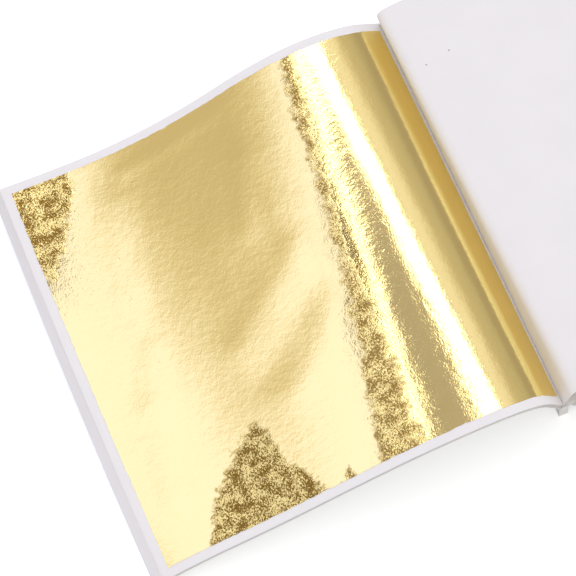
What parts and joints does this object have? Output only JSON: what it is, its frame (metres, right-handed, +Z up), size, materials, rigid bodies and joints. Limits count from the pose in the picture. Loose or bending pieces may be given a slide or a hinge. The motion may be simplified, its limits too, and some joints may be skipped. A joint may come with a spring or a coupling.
{
  "type": "gold leaf booklet",
  "caption": "Open booklet of square metal leaves between white tissue sheets, bound and stapled along the spine, with hinged front half and turning pages.",
  "frame": {"origin": "on the table, under the middle of the bound spine edge", "axes": "+X across the open spread towards the right-hand page, +Y along the spine, +Z up from the table"},
  "size_m": [0.2878, 0.146, 0.0251],
  "materials": {
    "tissue_paper": "matte",
    "metal_leaf": "polished",
    "cover_card": "matte",
    "bound_edge": "matte",
    "staple_wire": "satin"
  },
  "bodies": {
    "spine": {"bound_margins": "bound_edge", "staples": "staple_wire", "back_cover": "cover_card", "tissue_11": "tissue_paper", "tissue_12": "tissue_paper", "tissue_13": "tissue_paper", "tissue_14": "tissue_paper", "tissue_15": "tissue_paper", "tissue_16": "tissue_paper", "tissue_17": "tissue_paper", "tissue_18": "tissue_paper", "tissue_19": "tissue_paper", "tissue_20": "tissue_paper", "tissue_21": "tissue_paper", "tissue_22": "tissue_paper", "tissue_23": "tissue_paper", "tissue_24": "tissue_paper", "tissue_25": "tissue_paper", "tissue_26": "tissue_paper", "gold_leaf_10": "metal_leaf", "gold_leaf_11": "metal_leaf", "gold_leaf_12": "metal_leaf", "gold_leaf_13": "metal_leaf", "gold_leaf_14": "metal_leaf", "gold_leaf_15": "metal_leaf", "gold_leaf_16": "metal_leaf", "gold_leaf_17": "metal_leaf", "gold_leaf_18": "metal_leaf", "gold_leaf_19": "metal_leaf", "gold_leaf_20": "metal_leaf", "gold_leaf_21": "metal_leaf", "gold_leaf_22": "metal_leaf", "gold_leaf_23": "metal_leaf", "gold_leaf_24": "metal_leaf", "gold_leaf_25": "metal_leaf"},
    "left_half": {"front_cover": "cover_card", "tissue_01": "tissue_paper", "tissue_02": "tissue_paper", "tissue_03": "tissue_paper", "tissue_04": "tissue_paper", "tissue_05": "tissue_paper", "tissue_06": "tissue_paper", "tissue_07": "tissue_paper", "tissue_08": "tissue_paper", "gold_leaf_01": "metal_leaf", "gold_leaf_02": "metal_leaf", "gold_leaf_03": "metal_leaf", "gold_leaf_04": "metal_leaf", "gold_leaf_05": "metal_leaf", "gold_leaf_06": "metal_leaf", "gold_leaf_07": "metal_leaf", "gold_leaf_08": "metal_leaf"},
    "open_page": {"tissue_09": "tissue_paper", "gold_leaf_09": "metal_leaf"},
    "facing_page": {"tissue_10": "tissue_paper"}
  },
  "joints": [
    {"name": "left_half_turn", "type": "hinge", "parent": "spine", "child": "left_half", "pos_m": [-0.00036, 0, 0.011], "axis": [0, 1, 0], "range_deg": [0, 35]},
    {"name": "open_page_turn", "type": "hinge", "parent": "left_half", "child": "open_page", "pos_m": [-0.00036, 0, 0.011], "axis": [0, 1, 0], "range_deg": [0, 55], "deforming": ["tissue_09", "gold_leaf_09"]},
    {"name": "facing_page_turn", "type": "hinge", "parent": "spine", "child": "facing_page", "pos_m": [-0.00036, 0, 0.011], "axis": [0, -1, 0], "range_deg": [0, 65], "deforming": ["tissue_10"]}
  ]
}
